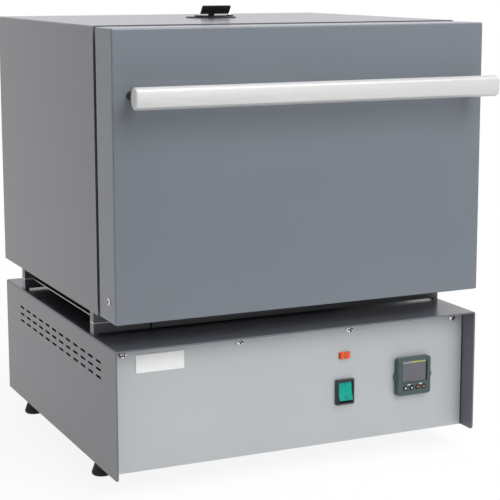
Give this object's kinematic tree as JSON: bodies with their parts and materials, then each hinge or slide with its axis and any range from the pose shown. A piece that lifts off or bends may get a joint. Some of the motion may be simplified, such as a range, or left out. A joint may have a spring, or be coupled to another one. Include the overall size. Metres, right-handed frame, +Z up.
{
  "type": "muffle furnace",
  "caption": "Bench muffle furnace: insulated chamber behind a drop-down door with a bar handle, on a control base with digital controller, rocker switch and pilot lamp.",
  "frame": {"origin": "centre of the bounding box on the surface that the feet stand on", "axes": "+Z up, -Y towards the door and the control panel, +X to the right seen from the front"},
  "size_m": [0.483, 0.5116, 0.5602],
  "materials": {
    "case_paint": "satin grey powder coat",
    "door_paint": "satin blue-grey powder coat",
    "rail_paint": "satin dark grey paint",
    "plain_steel": "satin",
    "panel_silver": "satin anodised",
    "handle_metal": "brushed",
    "fasteners": "polished",
    "black_metal": "satin black",
    "fibre_board": "white ceramic-fibre board",
    "hard_ceramic": "matte fired ceramic",
    "element_wire": "oxidised resistance wire",
    "black_plastic": "satin black moulded",
    "controller_plastic": "satin dark green-grey moulded",
    "display_glass": "smoky display cover",
    "rocker_green": "translucent green moulded",
    "lamp_orange": "translucent orange moulded",
    "badge_white": "gloss white",
    "foot_rubber": "matte black"
  },
  "bodies": {
    "furnace": {"case_shell": "case_paint", "case_floor": "case_paint", "case_back_panel": "case_paint", "case_front_frame": "rail_paint", "insulation_left": "fibre_board", "insulation_right": "fibre_board", "insulation_roof": "fibre_board", "insulation_floor": "fibre_board", "insulation_rear": "fibre_board", "heater_plate_left": "fibre_board", "heater_plate_right": "fibre_board", "heating_coil_left": "element_wire", "heating_coil_right": "element_wire", "hearth_plate": "hard_ceramic", "throat_collar": "fibre_board", "element_terminals": "hard_ceramic", "thermocouple": "hard_ceramic", "vent_tube": "hard_ceramic", "vent_ring": "black_metal", "vent_pivot": "fasteners", "hinge_arms": "black_metal", "door_switch": "black_plastic", "front_rail_lower": "rail_paint", "front_rail_upper": "rail_paint", "rear_rail_lower": "rail_paint", "rear_rail_upper": "rail_paint", "heat_shield": "plain_steel", "base_cover": "case_paint", "base_front_panel": "panel_silver", "base_floor": "case_paint", "base_rear_panel": "case_paint", "feet": "foot_rubber", "foot_screws": "fasteners", "panel_screws": "fasteners", "rear_screws": "fasteners", "badge_plate": "badge_white", "switch_housing": "black_plastic", "lamp_body": "black_plastic", "lamp_lens": "lamp_orange", "controller_bezel": "controller_plastic", "controller_body": "black_plastic", "controller_display": "display_glass", "power_inlet": "black_plastic", "relay_module": "black_plastic", "heat_sink": "handle_metal"},
    "door": {"door_skin": "door_paint", "door_inner_plate": "plain_steel", "door_insulation": "fibre_board", "door_plug": "fibre_board", "hinge_pins": "fasteners", "handle_bar": "handle_metal", "handle_standoffs": "black_metal", "door_striker": "plain_steel"},
    "damper": {"vent_damper": "black_metal"},
    "rocker": {"switch_rocker": "rocker_green"},
    "door_plunger": {"door_switch_plunger": "black_plastic"},
    "key_page": {"key_page": "black_plastic"},
    "key_scroll": {"key_scroll": "black_plastic"},
    "key_down": {"key_down": "black_plastic"},
    "key_up": {"key_up": "black_plastic"}
  },
  "joints": [
    {"name": "door_hinge", "type": "hinge", "parent": "furnace", "child": "door", "pos_m": [0, -0.18225, 0.2346], "axis": [1, 0, 0], "range_deg": [0, 90]},
    {"name": "damper_swivel", "type": "hinge", "parent": "furnace", "child": "damper", "pos_m": [0.026, 0.07975, 0.5435], "axis": [0, 0, 1], "range_deg": [0, 80]},
    {"name": "power_rocker", "type": "hinge", "parent": "furnace", "child": "rocker", "pos_m": [0.067, -0.17355, 0.091], "axis": [-1, 0, 0], "range_deg": [-22, 0]},
    {"name": "door_plunger_slide", "type": "slide", "parent": "furnace", "child": "door_plunger", "axis": [0, 1, 0], "range_m": [0, 0.003], "stiffness_N_per_m": 600},
    {"name": "key_page_press", "type": "slide", "parent": "furnace", "child": "key_page", "axis": [0, 1, 0], "range_m": [0, 0.0008], "stiffness_N_per_m": 500},
    {"name": "key_scroll_press", "type": "slide", "parent": "furnace", "child": "key_scroll", "axis": [0, 1, 0], "range_m": [0, 0.0008], "stiffness_N_per_m": 500},
    {"name": "key_down_press", "type": "slide", "parent": "furnace", "child": "key_down", "axis": [0, 1, 0], "range_m": [0, 0.0008], "stiffness_N_per_m": 500},
    {"name": "key_up_press", "type": "slide", "parent": "furnace", "child": "key_up", "axis": [0, 1, 0], "range_m": [0, 0.0008], "stiffness_N_per_m": 500}
  ]
}
